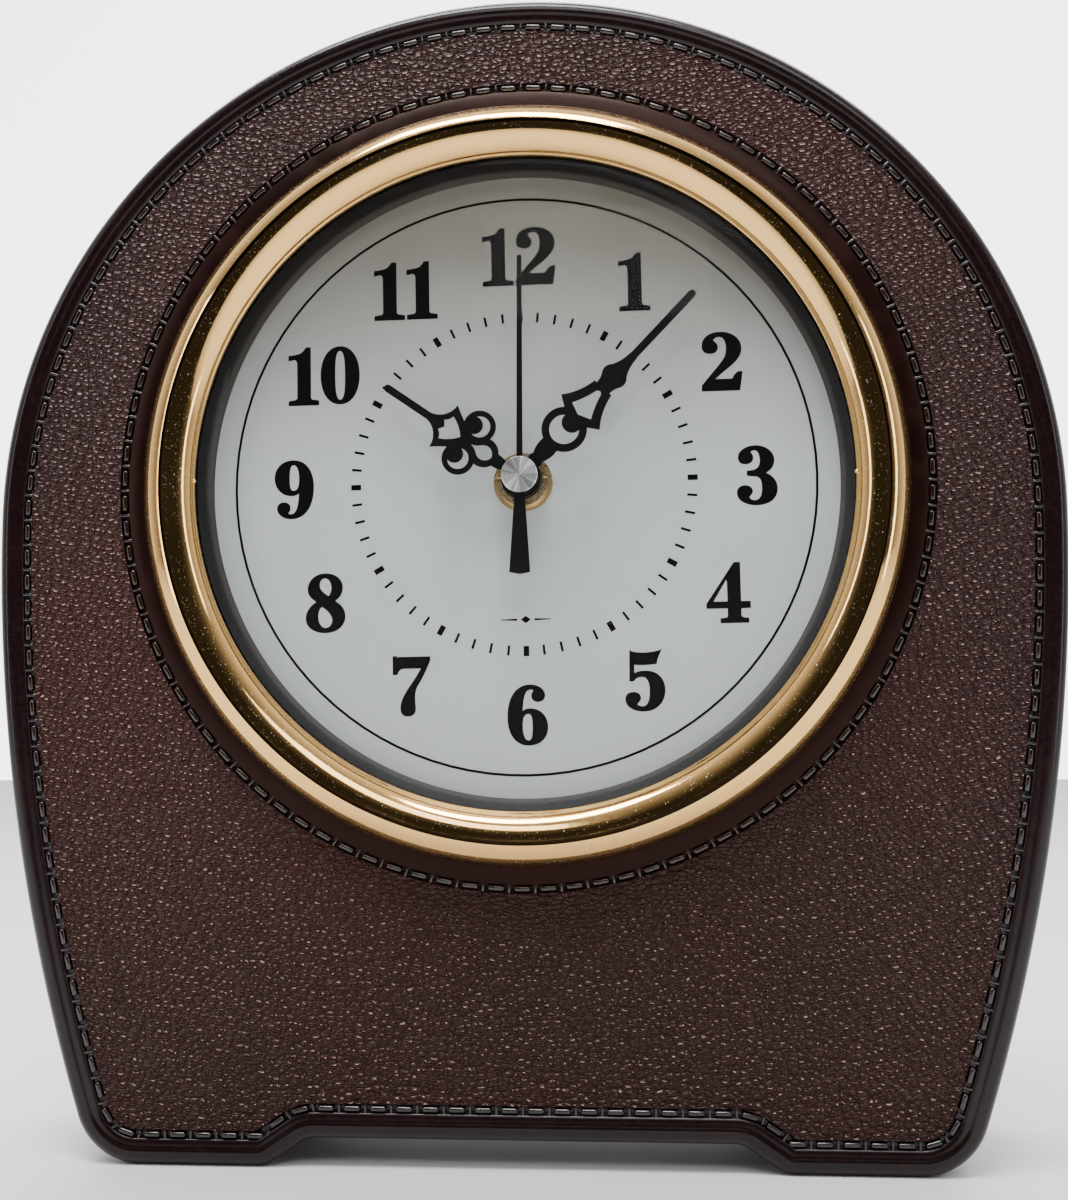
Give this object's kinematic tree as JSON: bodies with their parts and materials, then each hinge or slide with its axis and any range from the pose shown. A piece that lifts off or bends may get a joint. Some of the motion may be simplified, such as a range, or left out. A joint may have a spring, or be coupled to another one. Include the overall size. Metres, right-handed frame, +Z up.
{
  "type": "mantel clock",
  "caption": "Arched mantel clock on two feet, with moulded leather-look case, gilt bezel, domed lens, numbered dial, pierced hands and a battery quartz movement.",
  "frame": {"origin": "under the middle of the clock, at the level its feet stand on", "axes": "+X to the right seen from the front, +Y towards the back, +Z up; the dial faces -Y"},
  "size_m": [0.2088, 0.0536, 0.2286],
  "materials": {
    "case": "moulded leather grain with a smooth glossy rim",
    "rear_cover": "fine spark texture",
    "gilt": "vacuum gilt, mirror bright",
    "lens": "clear",
    "reveal": "smooth satin",
    "dial": "printed silver grey, satin",
    "steel": "zinc plated",
    "brass": "turned",
    "rubber": "soft",
    "housing": "fine spark texture",
    "inner_plastic": "smooth natural",
    "board": "phenolic board",
    "epoxy": "potting",
    "crystal_can": "drawn can",
    "copper": "enamelled copper wire",
    "magnet": "sintered",
    "cell": "printed sleeve over a steel can",
    "hand": "stamped and painted black",
    "spun": "spun silver"
  },
  "bodies": {
    "case": {"battery_contact_negative": "steel", "battery_contact_positive": "steel", "bezel_ring": "gilt", "bezel_screws": "steel", "brass_nut": "brass", "brass_washer": "brass", "circuit_board": "board", "coil_bobbin": "inner_plastic", "coil_core": "steel", "coil_winding": "copper", "dial_plate": "dial", "dial_screws": "steel", "front_case": "case", "lens": "lens", "movement_front_housing": "housing", "movement_rear_housing": "housing", "quartz_crystal": "crystal_can", "rear_cover": "rear_cover", "rear_cover_screws": "steel", "reveal_ring": "reveal", "rubber_gasket": "rubber", "stator_plate": "steel", "timing_chip": "epoxy", "train_plate": "inner_plastic"},
    "seconds": {"second_arbor": "steel", "second_wheel": "inner_plastic", "second_hand": "hand", "second_hand_cap": "spun"},
    "minutes": {"minute_arbor": "brass", "minute_hand": "hand"},
    "hours": {"hour_wheel": "inner_plastic", "hour_hand": "hand"},
    "rotor": {"rotor_pinion": "inner_plastic", "rotor_magnet": "magnet"},
    "intermediate": {"intermediate_wheel": "inner_plastic"},
    "third": {"third_wheel": "inner_plastic"},
    "centre": {"centre_wheel": "inner_plastic"},
    "motion": {"motion_wheel": "inner_plastic"},
    "setting": {"setting_arbor": "inner_plastic", "setting_knob": "housing"},
    "battery": {"battery_cell": "cell"}
  },
  "joints": [
    {"name": "second_spin", "type": "hinge", "parent": "case", "child": "seconds", "pos_m": [0, 0, 0.1312], "axis": [0, 1, 0], "continuous": true},
    {"name": "rotor_spin", "type": "hinge", "parent": "case", "child": "rotor", "pos_m": [-0.01902, 0, 0.13419], "axis": [0, 1, 0], "continuous": true},
    {"name": "intermediate_spin", "type": "hinge", "parent": "case", "child": "intermediate", "pos_m": [-0.0108, 0, 0.1312], "axis": [0, 1, 0], "continuous": true},
    {"name": "third_spin", "type": "hinge", "parent": "case", "child": "third", "pos_m": [0.0102, 0, 0.1312], "axis": [0, 1, 0], "continuous": true},
    {"name": "centre_spin", "type": "hinge", "parent": "case", "child": "centre", "pos_m": [0, 0, 0.1312], "axis": [0, 1, 0], "continuous": true},
    {"name": "minute_spin", "type": "hinge", "parent": "case", "child": "minutes", "pos_m": [0, 0, 0.1312], "axis": [0, 1, 0], "continuous": true},
    {"name": "motion_spin", "type": "hinge", "parent": "case", "child": "motion", "pos_m": [0, 0, 0.1408], "axis": [0, 1, 0], "continuous": true},
    {"name": "hour_spin", "type": "hinge", "parent": "case", "child": "hours", "pos_m": [0, 0, 0.1312], "axis": [0, 1, 0], "continuous": true},
    {"name": "setting_spin", "type": "hinge", "parent": "case", "child": "setting", "pos_m": [0.00849, 0, 0.14929], "axis": [0, 1, 0], "continuous": true},
    {"name": "battery_slide", "type": "slide", "parent": "case", "child": "battery", "axis": [0, 1, 0], "range_m": [0, 0.03]}
  ],
  "couplings": [
    {"joint": "rotor_spin", "follows": "second_spin", "ratio": 30},
    {"joint": "intermediate_spin", "follows": "second_spin", "ratio": -5},
    {"joint": "third_spin", "follows": "second_spin", "ratio": -0.13333},
    {"joint": "centre_spin", "follows": "second_spin", "ratio": 0.016667},
    {"joint": "motion_spin", "follows": "minute_spin", "ratio": -0.33333},
    {"joint": "hour_spin", "follows": "minute_spin", "ratio": 0.083333},
    {"joint": "setting_spin", "follows": "minute_spin", "ratio": 0.5}
  ]
}
